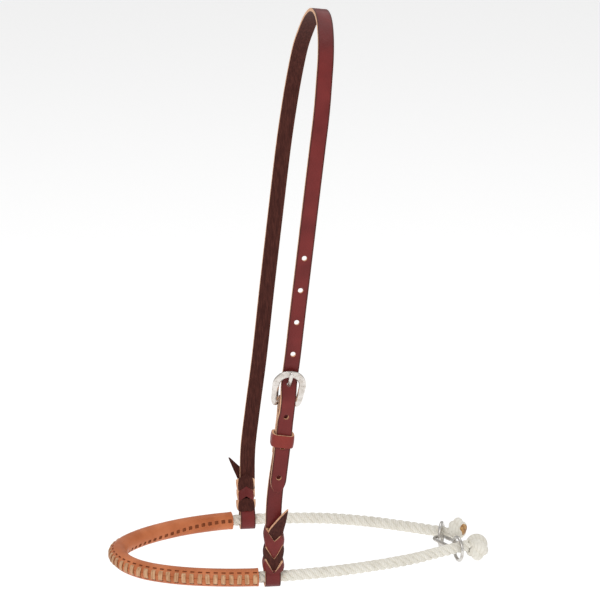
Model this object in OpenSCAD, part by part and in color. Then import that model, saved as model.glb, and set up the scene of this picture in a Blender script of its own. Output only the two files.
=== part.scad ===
// Bitless hackamore: a covered rope noseband hung in a one-buckle strap headstall.
// Frame: origin at the flesh side of the crown strap on the poll, +Z up, +X to the rear
// of the horse, -Y to its near (left) side. Millimetres.

/* [Straps] */
// Width of the headstall straps
strap_w = 12.7; // [12:0.1:14]
// Thickness of the strap leather
strap_t = 2.8; // [2.4:0.1:3]
// Radius of the punched holes
hole_r = 2; // [1.5:0.1:2.4]
// Distance between neighbouring holes
hole_pitch = 26; // [25:0.5:27]
// Height of the hole that the tongue goes through above the heel bar
tongue_hole = 15.5; // [15:0.5:16]
// Length of the fold that goes back down behind the buckle
fold_len = 44; // [36:1:46]
// Length of the crown strap's tail below the heel bar
tail_len = 75; // [70:1:80]

/* [Buckle] */
// Outer radius of the buckle frame's arch
frame_r = 13.3; // [12.9:0.1:13.5]
// Height of the arch's middle above the heel bar
arch_h = 15.5; // [15.2:0.1:15.8]
// Half the width of the opening in the buckle frame
window_r = 7.8; // [7.2:0.1:8]
// Thickness of the buckle frame
frame_t = 2.8; // [2.2:0.1:3]
// Radius of the heel bar
bar_r = 1.5; // [1.3:0.1:1.6]
// Length of the tongue from the heel bar to its tip
tongue_len = 26.5; // [25:0.5:27]
// Angle at which the frame stands out from the strap
frame_tilt = 15; // [15:0.5:16]
// Angle at which the tongue stands out from the strap
tongue_tilt = 22.5; // [22.5:0.5:24]

/* [Keeper] */
// Height of the keeper
keeper_h = 10; // [8:1:12]
// Thickness of the keeper's leather
keeper_t = 2; // [1.5:0.1:2.5]
// Distance of the keeper's middle below the heel bar
keeper_drop = 31; // [29:1:33]

/* [Noseband] */
// Diameter of the rope
rope_d = 9.5; // [9:0.1:10]
// Outer diameter of the leather nose cover
cover_d = 14.6; // [14:0.1:16]
// Height of the noseband below the poll
drop = 446; // [446:1:446]
// Number of lace stitches on the nose cover
stitches = 44; // [20:1:50]

/* [Rings] */
// Outer diameter of a rope ring
ring_d = 22; // [21:0.1:22.5]
// Diameter of the wire of the rings and the link
wire_d = 2.8; // [2.4:0.1:3]
// Outer length of the centre link
link_len = 29.3; // [29:0.1:30]
// Outer width of the centre link
link_w = 13.6; // [13:0.1:14]

/* [Hidden] */
$fn = 48;
// Play between pieces that move on each other, between plies that lie together, and round the rope
play = 0.3;
ply_gap = 0.15;
rope_play = 0.5;

// Headstall route: the arch over the poll and the two cheeks, from the off knot to the buckle
off_cheek = [[-50.6, 76.5, -411.6], [-49.8, 78, -385], [-45.8, 80.8, -354], [-39, 84.5, -306],
    [-32, 87.3, -246], [-25.5, 87.8, -190], [-18.4, 86.4, -128], [-13.2, 83.7, -89], [-9.3, 79, -62]];
poll_arch = [[-6.2, 69, -39.5], [-3.2, 56, -23], [-1, 40, -10], [0.6, 21, -1.4], [1, 0, strap_t / 2],
    [0.6, -21, -1.4], [-0.8, -40, -10], [-3, -56, -23], [-6, -69, -39.5]];
near_cheek = [[-9.3, -79, -62], [-13.2, -83.7, -89], [-18.2, -86.2, -128], [-24.2, -87.6, -178],
    [-29.4, -87.8, -222]];
// Buckle's place: a point level with the heel bar on the cheek strap's middle, and the strap's run there
buckle_at = [-37.4, -85.1, -293.5];
strap_run = [6.4, 3.4];
// Lower cheek: from the straight stretch at the buckle down to the near knot
lower_cheek = [[-45.6, -80.4, -363], [-47, -77.4, -384], [-47.1, -74.5, -405]];
// Plies at the buckle, counted outwards from the middle of the cheek strap
tail_v = strap_t + ply_gap;
bar_v = -(bar_r + ply_gap + strap_t / 2);
back_v = -(strap_t + ply_gap);
fold_r = bar_r + ply_gap + strap_t / 2;

// Noseband route, level, from the near end round the nose to the off end
rope_route = [[122, -16], [113, -20.4], [104, -24.5], [90, -32], [74, -40.5], [50, -49.5], [20, -58],
    [-12, -64], [-46, -67], [-78, -65.5], [-108, -59.5], [-132, -50], [-150, -37.5], [-162, -20],
    [-166, 0], [-161, 18], [-148, 34], [-130, 47.5], [-106, 59.5], [-78, 67.5], [-50, 70.5], [-18, 69.5],
    [14, 65], [42, 55.5], [66, 43.5], [88, 30.5], [104, 20.5], [117, 12.7]];
// The cover lies between these places on the route, counted in route points
cover_from = 8.38;
cover_to = 19.48;
near_loop_at = [-46.6, -67, -drop];
off_loop_at = [-50.7, 70.5, -drop];
// Lean of each knot away from the horse, and its top above the rope's middle
knot_lean = [10.3, 9.8];
near_knot_top = 41.6;
off_knot_top = 34.4;
knot_foot = 8.8;
knot_t = 9;
near_knot_at = [130, -14, -448.6];
off_knot_at = [119.3, 9, -439.6];

// Rings and link: middles, and the angle of each from the Y axis
near_ring_at = [113.3, -18.8, -447.4];
off_ring_at = [105.5, 17.5, -447.4];
near_ring_turn = 11.5;
off_ring_turn = -19.5;
link_at = [106.85, -0.45, -447.4];
link_turn = 26.9;

function unit(v) = v / norm(v);

// A point at the fraction t between b and c on a smooth curve through a, b, c and d
function between(a, b, c, d, t) =
    0.5 * (2 * b + (c - a) * t + (2 * a - 5 * b + 4 * c - d) * t * t + (3 * b - a - 3 * c + d) * t * t * t);

// A point of the smooth curve through the points p, at the place s counted in points
function on_curve(p, s) = let (i = min(floor(s), len(p) - 2), last = len(p) - 1)
    between(p[max(i - 1, 0)], p[i], p[i + 1], p[min(i + 2, last)], s - i);

function smooth(p, n) = [for (s = [0:1 / n:len(p) - 1 + 0.001]) on_curve(p, min(s, len(p) - 1))];

function heading(p, i) = unit(p[min(i + 1, len(p) - 1)] - p[max(i - 1, 0)]);

// Four corners of a strap's section, at every point of its route. The strap bends in its leaning plane
// and doesn't twist, so the direction across it stays the same.
function strap_rings(p, w, t) = [for (i = [0:len(p) - 1]) let (
    run = heading(p, i),
    across = [cos(strap_run[0]), 0, -sin(strap_run[0])],
    side = unit(across - (across * run) * run),
    face = cross(side, run))
    [for (c = [[-1, -1], [1, -1], [1, 1], [-1, 1]]) p[i] + side * c[0] * w / 2 + face * c[1] * t / 2]];

// Round section of radius r with n sides, at every point of a level route
function round_rings(p, r, n) = [for (i = [0:len(p) - 1]) let (
    run = heading(p, i),
    side = [-run[1], run[0], 0])
    [for (k = [0:n - 1]) p[i] + r * (side * cos(360 * k / n) + [0, 0, 1] * sin(360 * k / n))]];

// Solid through a row of closed rings of points
module skin(rings) {
    n = len(rings[0]);
    m = len(rings);
    sides = [for (j = [0:m - 2]) for (i = [0:n - 1])
        [j * n + i, j * n + (i + 1) % n, (j + 1) * n + (i + 1) % n, (j + 1) * n + i]];
    polyhedron([for (r = rings) each r],
        concat([[for (i = [n - 1:-1:0]) i]], [[for (i = [0:n - 1]) (m - 1) * n + i]], sides), convexity = 10);
}

// Pipe wall between two rows of rings
module pipe(outer, inner) {
    n = len(outer[0]);
    m = len(outer);
    all_in = m * n;
    walls = [for (j = [0:m - 2]) for (i = [0:n - 1]) let (a = j * n + i, b = j * n + (i + 1) % n)
        each [[a, b, b + n, a + n], [all_in + a, all_in + a + n, all_in + b + n, all_in + b]]];
    ends = [for (i = [0:n - 1]) let (k = (i + 1) % n, e = (m - 1) * n)
        each [[i, all_in + i, all_in + k, k], [e + k, all_in + e + k, all_in + e + i, e + i]]];
    polyhedron(concat([for (r = outer) each r], [for (r = inner) each r]), concat(walls, ends), convexity = 10);
}

// Place at the buckle: X across the strap, -Y outwards, Z up along the strap
module at_buckle() {
    translate(buckle_at) rotate([strap_run[1], strap_run[0], 0]) children();
}

// The same place for a single point, given as outwards and upwards distances
function buckle_point(v, w) = let (
    a = strap_run[1],
    b = strap_run[0],
    y = -v * cos(a) - w * sin(a),
    z = -v * sin(a) + w * cos(a))
    buckle_at + [z * sin(b), y, z * cos(b)];

function crown_route() = concat(off_cheek, poll_arch, near_cheek,
    [for (q = [[0, 46], [0, 34], [-0.7, 27], [-1.2, 21], [-0.9, 16.5], [0.8, 10], [2.4, 4.5], [tail_v, 0],
        [tail_v, -6], [tail_v, -30], [tail_v, -54], [tail_v, -tail_len]]) buckle_point(q[0], q[1])]);

function cheek_route() = concat([for (i = [2:-1:0]) lower_cheek[i]],
    [for (w = [-46, -30, -12]) buckle_point(0, w)],
    [for (a = [0:30:180]) buckle_point(bar_v + fold_r * cos(a), fold_r * sin(a))],
    [for (q = [[back_v - 1.6, -7], [back_v, -14], [back_v, -28], [back_v, -fold_len]]) buckle_point(q[0], q[1])]);

module crown_strap() {
    color("#6e2a2c") difference() {
        skin(strap_rings(smooth(crown_route(), 2), strap_w, strap_t));
        at_buckle() {
            for (k = [-3, -2, -1, 1, 2, 3, 4]) translate([0, 0, tongue_hole + k * hole_pitch]) punch();
            for (w = [0:1.9:11.4]) translate([0, 0, tongue_hole - w]) punch();
        }
    }
}

module punch() {
    rotate([90, 0, 0]) cylinder(r = hole_r, h = 16, center = true);
}

module cheek_strap() {
    color("#6a282a") difference() {
        skin(strap_rings(cheek_route(), strap_w, strap_t));
        at_buckle() translate([-2.4, -3, -4]) cube([4.8, 14, 12]);
    }
}

module fold_stitching() {
    color("#d8c39a") at_buckle() for (x = [-4, 4]) for (w = [-38:4:-18])
        translate([x - 0.4, -back_v + strap_t / 2 + 0.02, w - 1.4]) cube([0.8, play, 2.8]);
}

// Outline of a bleed knot: three lobes on each side, one above the other
function knot_side(top) = [for (k = [0:18]) let (w = knot_foot + (top - knot_foot) * k / 18)
    [7.1 + 1.5 * abs(sin(180 * 3 * k / 18)), w]];

module bleed_knot(at, lean, top) {
    side = knot_side(top);
    back = [for (k = [len(side) - 1:-1:0]) [-side[k][0], side[k][1]]];
    translate(at) rotate([lean, 0, 0]) rotate([90, 0, 0])
        linear_extrude(knot_t, center = true) polygon(concat(side, back));
}

module near_bleed_knot() {
    color("#6e2a2c") bleed_knot(near_loop_at, knot_lean[0], near_knot_top);
}

module off_bleed_knot() {
    color("#4c2222") bleed_knot(off_loop_at, -knot_lean[1], off_knot_top);
}

// Pointed end of a strap that sticks out above its knot, on the outer side
module knot_tail(at, lean, outline, out) {
    translate(at) rotate([lean, 0, 0]) translate([0, out * (strap_t + 0.2), 0]) rotate([90, 0, 0])
        linear_extrude(strap_t - 0.2, center = true) polygon(outline);
}

module near_knot_tail() {
    top = near_knot_top;
    color("#4a2320") knot_tail(near_loop_at, knot_lean[0], [[-3.7, top], [8, top], [11.2, top + 23.5]], -1);
}

module off_knot_tail() {
    top = off_knot_top;
    color("#4a2320") knot_tail(off_loop_at, -knot_lean[1], [[-7, top], [3, top], [-15.5, top + 18]], 1);
}

// Turned strap end round the rope, trimmed so that it can rock under its knot
module rope_loop(at, lean) {
    rock_r = knot_foot - 0.6;
    translate(at) rotate([lean, 0, 0]) difference() {
        intersection() {
            union() {
                rotate([0, 90, 0]) cylinder(r = rope_d / 2 + rope_play + strap_t, h = strap_w, center = true);
                translate([-strap_w / 2, -knot_t / 2, 0]) cube([strap_w, knot_t, rock_r]);
            }
            union() {
                rotate([90, 0, 0]) cylinder(r = rock_r, h = 30, center = true);
                translate([-15, -15, -30]) cube([30, 30, 30]);
            }
        }
        rotate([0, 90, 0]) cylinder(r = rope_d / 2 + rope_play, h = strap_w + 2, center = true);
    }
}

module near_rope_loop() {
    color("#6e2a2c") rope_loop(near_loop_at, knot_lean[0]);
}

module off_rope_loop() {
    color("#6e2a2c") rope_loop(off_loop_at, -knot_lean[1]);
}

function level(s) = let (q = on_curve(rope_route, s)) [q[0], q[1], -drop];

// Length along the rope from the first of some places on the route to the one numbered i
function reach(places, i) = i == 0 ? 0 : reach(places, i - 1) + norm(level(places[i]) - level(places[i - 1]));

module noseband_rope() {
    route = [for (s = [0:0.5:len(rope_route) - 1]) level(s)];
    color("#ebe8dc") skin(round_rings(route, rope_d / 2, 12));
}

module nose_cover() {
    steps = 30;
    route = [for (i = [0:steps]) level(cover_from + (cover_to - cover_from) * i / steps)];
    color("#c8693a") pipe(round_rings(route, cover_d / 2, 16), round_rings(route, rope_d / 2 + play, 16));
}

// Lace stitches: short curved bars that cross the seam on the cover's outer side
module cover_lacing() {
    margin = 3;
    low = -22;
    places = [for (i = [0:48]) cover_from + (cover_to - cover_from) * i / 48];
    table = [for (i = [0:48]) [reach(places, i), places[i]]];
    color("#d9b98a") for (k = [0:stitches - 1]) {
        s = lookup(margin + (reach(places, 48) - 2 * margin) * k / (stitches - 1), table);
        run = unit(level(s + 0.02) - level(s - 0.02));
        translate(level(s)) rotate([90, 0, atan2(run[0], -run[1])]) rotate([0, 0, low])
            rotate_extrude(angle = 56) translate([cover_d / 2 + 0.15, -1.5]) square([0.8, 3]);
    }
}

// Rope end tucked into a ball of four strand lobes
module end_knot(at, size) {
    translate(at) {
        sphere(r = 0.78 * size);
        for (a = [45:90:315]) rotate([a, 0, 0]) translate([0, 0.42 * size, 0]) sphere(r = 0.6 * size);
    }
}

module near_end_knot() {
    color("#f1eee2") end_knot(near_knot_at, 10.6);
}

module off_end_knot() {
    color("#f1eee2") end_knot(off_knot_at, 8.6);
}

module rope_ring(at, turn) {
    translate(at) rotate([0, 0, turn]) rotate([0, 90, 0])
        rotate_extrude() translate([(ring_d - wire_d) / 2, 0]) circle(d = wire_d);
}

module near_rope_ring() {
    color("#b9bcbf") rope_ring(near_ring_at, near_ring_turn);
}

module off_rope_ring() {
    color("#b9bcbf") rope_ring(off_ring_at, off_ring_turn);
}

module centre_link() {
    bend_r = (link_w - wire_d) / 2;
    half = (link_len - link_w) / 2;
    color("#b9bcbf") translate(link_at) rotate([0, 0, link_turn]) for (m = [0, 1]) mirror([0, m, 0]) {
        translate([0, half, 0]) rotate_extrude(angle = 180) translate([bend_r, 0]) circle(d = wire_d);
        for (x = [-bend_r, bend_r]) translate([x, 0, 0]) rotate([-90, 0, 0]) cylinder(d = wire_d, h = half);
    }
}

module buckle_frame() {
    arch = [for (a = [-12:12:192]) [frame_r * cos(a), arch_h + frame_r * sin(a)]];
    leg = [[6.4, -4.4], [9.2, -3.9], [11.4, -1], [12.6, 4.5]];
    outline = concat(leg, arch, [for (i = [3:-1:0]) [-leg[i][0], leg[i][1]]]);
    color("#c3c5c6") at_buckle() translate([0, -bar_v, 0]) {
        rotate([frame_tilt, 0, 0]) rotate([90, 0, 0]) linear_extrude(frame_t, center = true) difference() {
            polygon(outline);
            translate([0, arch_h - 0.7]) circle(r = window_r);
            translate([-window_r, 4]) square([2 * window_r, arch_h - 4.7]);
            translate([-window_r + 0.8, -5]) square([2 * window_r - 1.6, 9.1]);
        }
        rotate([0, 90, 0]) cylinder(r = bar_r, h = 2 * window_r, center = true);
    }
}

module buckle_tongue() {
    color("#d2d4d4") at_buckle() translate([0, -bar_v, 0]) rotate([tongue_tilt, 0, 0]) difference() {
        union() {
            rotate([0, 90, 0]) cylinder(r = bar_r + 1.5, h = 4, center = true);
            translate([0, 0, 1]) cylinder(r = 1.25, h = tongue_len - 1);
            translate([0, 0, tongue_len]) sphere(r = 1.25);
        }
        rotate([0, 90, 0]) cylinder(r = bar_r + 0.05, h = 6, center = true);
    }
}

module keeper_outline(x, y, r) {
    square([x - 2 * r, y], center = true);
    square([x, y - 2 * r], center = true);
    for (i = [-1, 1]) for (j = [-1, 1]) translate([i * (x / 2 - r), j * (y / 2 - r)]) circle(r = r);
}

module strap_keeper() {
    inner_x = strap_w + 0.8;
    inner_y = 3 * strap_t + 2 * ply_gap + 2 * play + 0.4;
    color("#7d2a2a") at_buckle() translate([0, 0.1, -keeper_drop]) linear_extrude(keeper_h, center = true)
        difference() {
            keeper_outline(inner_x + 2 * keeper_t, inner_y + 2 * keeper_t, 2.4);
            keeper_outline(inner_x, inner_y, 0.5);
        }
}

crown_strap();
cheek_strap();
fold_stitching();
off_bleed_knot();
near_bleed_knot();
off_knot_tail();
near_knot_tail();
off_rope_loop();
near_rope_loop();
noseband_rope();
nose_cover();
cover_lacing();
near_end_knot();
off_end_knot();
near_rope_ring();
off_rope_ring();
centre_link();
buckle_frame();
buckle_tongue();
strap_keeper();
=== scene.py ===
"""Bitless hackamore: a leather-covered rope noseband hung in a one-buckle strap headstall."""
import logging
import math
from contextlib import contextmanager
from dataclasses import dataclass, field
from enum import Enum
from typing import Callable, Iterator, Sequence

import bmesh
import bpy
import numpy as np
from mathutils import Matrix, Vector


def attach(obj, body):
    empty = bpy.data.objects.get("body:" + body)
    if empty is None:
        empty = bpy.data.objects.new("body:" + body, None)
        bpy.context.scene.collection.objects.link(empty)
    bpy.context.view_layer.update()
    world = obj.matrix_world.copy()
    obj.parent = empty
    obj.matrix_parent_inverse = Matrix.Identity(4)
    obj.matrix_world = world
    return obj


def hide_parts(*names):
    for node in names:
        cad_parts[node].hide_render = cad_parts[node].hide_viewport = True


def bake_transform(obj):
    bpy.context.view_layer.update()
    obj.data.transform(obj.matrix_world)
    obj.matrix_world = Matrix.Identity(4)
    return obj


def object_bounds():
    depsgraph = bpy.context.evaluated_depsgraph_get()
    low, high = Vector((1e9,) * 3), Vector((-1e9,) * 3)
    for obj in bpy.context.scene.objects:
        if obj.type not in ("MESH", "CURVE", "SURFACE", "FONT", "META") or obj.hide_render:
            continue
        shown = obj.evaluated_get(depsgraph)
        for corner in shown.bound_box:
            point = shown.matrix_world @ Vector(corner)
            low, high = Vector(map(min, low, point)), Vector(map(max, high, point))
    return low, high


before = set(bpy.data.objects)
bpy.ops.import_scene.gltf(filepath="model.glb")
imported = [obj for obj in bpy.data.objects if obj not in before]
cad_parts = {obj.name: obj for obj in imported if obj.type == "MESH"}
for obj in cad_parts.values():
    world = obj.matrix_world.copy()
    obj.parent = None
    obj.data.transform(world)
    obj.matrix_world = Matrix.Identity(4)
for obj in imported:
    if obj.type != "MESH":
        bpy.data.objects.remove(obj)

LOG = logging.getLogger("hackamore")
CAD_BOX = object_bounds()
MM = 0.001
Point = Sequence[float]
Colour = tuple[float, float, float]
Setting = dict[str, object]

# Driving sizes of the stock, in millimetres
STRAP_WIDTH = 12.7
STRAP_THICKNESS = 2.8
PLY_GAP = 0.15
ROPE_DIAMETER = 9.5
COVER_DIAMETER = 14.6
DROP = 446.0
BAR_RADIUS = 1.5
ROUND_BAR = BAR_RADIUS + PLY_GAP + STRAP_THICKNESS / 2
TAIL_OUT = STRAP_THICKNESS + PLY_GAP
TAIL_LENGTH = 75.0
TONGUE_HOLE = 15.5
HOLE_PITCH = 26.0
HOLE_RADIUS = 2.0
TONGUE_HOLE_RADIUS = 1.65
# The place of the buckle, and the lean of the strap there about X and about Y, in degrees
BUCKLE_AT = (-37.4, -85.1, -293.5)
LEAN_OUT = 3.4
LEAN_BACK = 6.4
ACROSS = (math.cos(math.radians(LEAN_BACK)), 0.0, -math.sin(math.radians(LEAN_BACK)))


class Face(Enum):
    """Which side of the leather looks outwards."""

    GRAIN = "grain"
    FLESH = "flesh"


# ---------------------------------------------------------------- modelling helpers


def vertices(piece: bpy.types.Object) -> np.ndarray:
    """Returns the mesh's vertices as rows of x, y and z.

    Args:
        piece: the mesh object.

    Returns:
        The vertices as rows, in metres.
    """
    flat = np.empty(len(piece.data.vertices) * 3)
    piece.data.vertices.foreach_get("co", flat)
    return flat.reshape(-1, 3)


def set_vertices(piece: bpy.types.Object, points: np.ndarray) -> None:
    """Moves the mesh's vertices to the rows of points."""
    piece.data.vertices.foreach_set("co", np.ascontiguousarray(points, dtype=float).ravel())
    piece.data.update()


def smoothstep(value: np.ndarray, low: float, high: float) -> np.ndarray:
    """Returns 0 before low, 1 after high and a smooth rise between them."""
    share = np.clip((value - low) / (high - low), 0.0, 1.0)
    return share * share * (3.0 - 2.0 * share)


def only(piece: bpy.types.Object) -> None:
    """Selects the piece alone and makes it active.

    Args:
        piece: the mesh object.
    """
    bpy.ops.object.select_all(action="DESELECT")
    piece.select_set(True)
    bpy.context.view_layer.objects.active = piece


@contextmanager
def edit(piece: bpy.types.Object, kind: str = "FACE") -> Iterator[None]:
    """Opens the piece in edit mode with nothing selected, and closes it again.

    Args:
        piece: the mesh object.
        kind: VERT, EDGE or FACE.
    """
    only(piece)
    bpy.ops.object.mode_set(mode="EDIT")
    bpy.ops.mesh.select_mode(type=kind)
    bpy.ops.mesh.select_all(action="DESELECT")
    yield
    bpy.ops.object.mode_set(mode="OBJECT")


def pick(piece: bpy.types.Object, test: Callable[[Vector, Vector], bool]) -> int:
    """Selects the faces, in edit mode, whose middle and normal pass the test.

    Args:
        piece: the mesh object.
        test: takes a face's middle and its normal.

    Returns:
        How many faces are selected.
    """
    mesh = bmesh.from_edit_mesh(piece.data)
    count = 0
    for face in mesh.faces:
        chosen = bool(test(face.calc_center_median(), face.normal))
        face.select_set(chosen)
        count += chosen
    bmesh.update_edit_mesh(piece.data)
    return count


def apply(piece: bpy.types.Object, kind: str, **settings: object) -> None:
    """Adds one modifier with its settings and applies it.

    Args:
        piece: the mesh object.
        kind: the modifier type.
        settings: the modifier's own settings.
    """
    modifier = piece.modifiers.new(kind.title(), kind)
    for name, value in settings.items():
        setattr(modifier, name, value)
    only(piece)
    bpy.ops.object.modifier_apply(modifier=modifier.name)


def smooth(piece: bpy.types.Object, degrees: float = 40.0) -> None:
    """Shades the piece smooth, apart from edges sharper than the angle."""
    only(piece)
    bpy.ops.object.shade_smooth_by_angle(angle=math.radians(degrees))


def join(name: str, pieces: Sequence[bpy.types.Object]) -> bpy.types.Object:
    """Joins the pieces into one object of that name.

    Args:
        name: the joined object's name.
        pieces: the objects, the first of which stays.

    Returns:
        The joined object.
    """
    only(pieces[0])
    for piece in pieces[1:]:
        piece.select_set(True)
    bpy.ops.object.join()
    named(pieces[0], name)
    return pieces[0]


def named(piece: bpy.types.Object, name: str) -> bpy.types.Object:
    """Names the object and its mesh.

    Args:
        piece: the mesh object.
        name: the name for both.

    Returns:
        The same object.
    """
    piece.name = name
    piece.data.name = name
    return piece


def copy_of(piece: bpy.types.Object) -> bpy.types.Object:
    """Returns a copy of the piece with its own mesh.

    Args:
        piece: the mesh object.

    Returns:
        The copy, linked to the scene.
    """
    twin = piece.copy()
    twin.data = piece.data.copy()
    bpy.context.collection.objects.link(twin)
    return twin


def flat_sheet(name: str, along: np.ndarray, over: np.ndarray) -> bpy.types.Object:
    """Makes a flat grid in the XY plane.

    Args:
        name: the object's name.
        along: the places of the columns on X, in metres.
        over: the places of the rows on Y, in metres.

    Returns:
        The grid, facing +Z.
    """
    bpy.ops.object.select_all(action="DESELECT")
    bpy.ops.mesh.primitive_grid_add(x_subdivisions=len(along) - 1, y_subdivisions=len(over) - 1, size=1.0)
    sheet = named(bpy.context.object, name)
    points = vertices(sheet)
    column = np.rint((points[:, 0] + 0.5) * (len(along) - 1)).astype(int)
    row = np.rint((points[:, 1] + 0.5) * (len(over) - 1)).astype(int)
    points[:, 0] = along[column]
    points[:, 1] = over[row]
    set_vertices(sheet, points)
    return sheet


def keep_flat_place(piece: bpy.types.Object) -> None:
    """Stores each vertex's present place as the attribute that materials follow."""
    place = piece.data.attributes.new("flat_place", "FLOAT_VECTOR", "POINT")
    place.data.foreach_set("vector", vertices(piece).astype(np.float32).ravel())


def bar_stock(name: str, length: float, rings: int, sides: int) -> bpy.types.Object:
    """Makes a closed round bar of radius 1 mm along X, from 0 to length, cut into rings.

    Args:
        name: the object's name.
        length: the bar's length in metres.
        rings: how many cuts run round it.
        sides: how many sides it has.

    Returns:
        The bar.
    """
    bpy.ops.object.select_all(action="DESELECT")
    bpy.ops.mesh.primitive_cylinder_add(vertices=sides, radius=MM, depth=length, end_fill_type="TRIFAN")
    bar = named(bpy.context.object, name)
    with edit(bar, "EDGE"):
        mesh = bmesh.from_edit_mesh(bar.data)
        for edge in mesh.edges:
            edge.select_set(abs(edge.verts[0].co.z - edge.verts[1].co.z) > length / 2)
        bmesh.update_edit_mesh(bar.data)
        bpy.ops.mesh.subdivide(number_cuts=rings)
    points = vertices(bar)
    set_vertices(bar, np.stack([points[:, 2] + length / 2, points[:, 0], points[:, 1]], axis=1))
    return bar


def recalculate(piece: bpy.types.Object) -> None:
    """Turns every face of a closed shell outwards."""
    with edit(piece):
        bpy.ops.mesh.select_all(action="SELECT")
        bpy.ops.mesh.normals_make_consistent(inside=False)


def smooth_line(points: Sequence[Point], steps: int) -> np.ndarray:
    """Returns steps places between each pair of points on the smooth curve through them.

    Args:
        points: the places the curve goes through.
        steps: how many places there are from one point to the next.

    Returns:
        The places as rows, in the units of the points.
    """
    given = np.array(points, float)
    padded = np.vstack([given[:1], given, given[-1:]])
    rows = []
    for i in range(len(given) - 1):
        a, b, c, d = padded[i : i + 4]
        for t in np.arange(steps) / steps:
            curve = 2 * b + (c - a) * t + (2 * a - 5 * b + 4 * c - d) * t**2 + (3 * b - a - 3 * c + d) * t**3
            rows.append(0.5 * curve)
    rows.append(given[-1])
    return np.array(rows)


@dataclass
class Path:
    """A smooth line through points in millimetres, measured along its own length in metres.

    A strap's path has the direction across the strap, and turned says that its grain side is on the
    other hand. A level rope's path has none: its second direction is level, and its third is up.
    """

    points: Sequence[Point]
    across: Point | None = None
    turned: bool = False
    steps: int = 10
    line: np.ndarray = field(init=False)
    reach: np.ndarray = field(init=False)

    def __post_init__(self) -> None:
        """Works out the fine line and the distance along it."""
        self.line = smooth_line(self.points, self.steps) * MM
        gaps = np.linalg.norm(np.diff(self.line, axis=0), axis=1)
        self.reach = np.concatenate([[0.0], np.cumsum(gaps)])

    @property
    def length(self) -> float:
        """The path's length in metres."""
        return float(self.reach[-1])

    def at(self, distance: np.ndarray) -> tuple[np.ndarray, np.ndarray, np.ndarray, np.ndarray]:
        """Finds places on the path.

        Args:
            distance: distances along the path, in metres.

        Returns:
            The points, and the directions along, sideways and outwards there.
        """
        inside = np.clip(distance, 0.0, self.length)
        slope = np.gradient(self.line, self.reach, axis=0)
        point = np.stack([np.interp(inside, self.reach, self.line[:, k]) for k in range(3)], axis=1)
        run = np.stack([np.interp(inside, self.reach, slope[:, k]) for k in range(3)], axis=1)
        run /= np.linalg.norm(run, axis=1, keepdims=True)
        point += (distance - inside)[:, None] * run
        if self.across is None:
            side = np.cross(np.array([0.0, 0.0, 1.0]), run)
        else:
            wanted = np.array(self.across) * (-1.0 if self.turned else 1.0)
            side = wanted - (run @ wanted)[:, None] * run
        side /= np.linalg.norm(side, axis=1, keepdims=True)
        return point, run, side, np.cross(run, side)

    def lay(self, piece: bpy.types.Object, start: float = 0.0) -> None:
        """Bends a piece modelled straight along X onto the path, from the distance start.

        Args:
            piece: the mesh object.
            start: where the piece's X of zero falls on the path, in metres.
        """
        flat = vertices(piece)
        point, _, side, out = self.at(flat[:, 0] + start)
        set_vertices(piece, point + side * flat[:, 1:2] + out * flat[:, 2:3])


def at_buckle(out: float, up: float, over: float = 0.0) -> np.ndarray:
    """Returns a place at the buckle, in millimetres.

    Args:
        out: the distance outwards from the middle of the cheek strap.
        up: the distance up along the strap from the heel bar.
        over: the distance across the strap, to the rear of the horse.
    """
    a = math.radians(LEAN_OUT)
    b = math.radians(LEAN_BACK)
    y = -out * math.cos(a) - up * math.sin(a)
    z = -out * math.sin(a) + up * math.cos(a)
    shift = (z * math.sin(b) + over * math.cos(b), y, z * math.cos(b) - over * math.sin(b))
    return np.array(BUCKLE_AT) + np.array(shift)


# ---------------------------------------------------------------- finishes


class Graph:
    """Adds nodes to a tree and joins their sockets."""

    def __init__(self, tree: bpy.types.NodeTree) -> None:
        """Keeps the tree that nodes are added to."""
        self.tree = tree

    def add(self, kind: str, values: Setting | None = None, **settings: object) -> bpy.types.Node:
        """Adds a node.

        Args:
            kind: the node's type, without the ShaderNode prefix unless it is a group's own node.
            values: what each input gets, as a number, colour or another node's output.
            **settings: the node's own properties.

        Returns:
            The new node.
        """
        node = self.tree.nodes.new(kind if kind.startswith("Node") else f"ShaderNode{kind}")
        for name, value in settings.items():
            setattr(node, name, value)
        for key, value in (values or {}).items():
            socket = node.inputs[key]
            if isinstance(value, bpy.types.NodeSocket):
                self.tree.links.new(value, socket)
            else:
                socket.default_value = value
        return node

    def noise(self, vector: bpy.types.NodeSocket, scale: float, detail: float = 3.0) -> bpy.types.NodeSocket:
        """Returns soft noise from 0 to 1 at the scale, in spots a metre."""
        return self.add("TexNoise", {"Vector": vector, "Scale": scale, "Detail": detail}).outputs["Fac"]

    def ramp(self, value: bpy.types.NodeSocket, low: float, high: float) -> bpy.types.NodeSocket:
        """Returns 0 below low and 1 above high."""
        node = self.add("MapRange", {"Value": value, "From Min": low, "From Max": high})
        return node.outputs["Result"]

    def blend(self, share: object, first: object, second: object) -> bpy.types.NodeSocket:
        """Returns a colour between first and second."""
        sockets = {0: share, 6: first, 7: second}
        return self.add("Mix", sockets, data_type="RGBA").outputs[2]

    def maths(self, operation: str, first: object, second: object = 0.0) -> bpy.types.NodeSocket:
        """Returns the result of one sum."""
        return self.add("Math", {0: first, 1: second}, operation=operation).outputs[0]

    def stretched(self, vector: bpy.types.NodeSocket, factors: Point) -> bpy.types.NodeSocket:
        """Returns the vector multiplied on each axis."""
        return self.add("VectorMath", {0: vector, 1: tuple(factors)}, operation="MULTIPLY").outputs[0]


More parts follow.
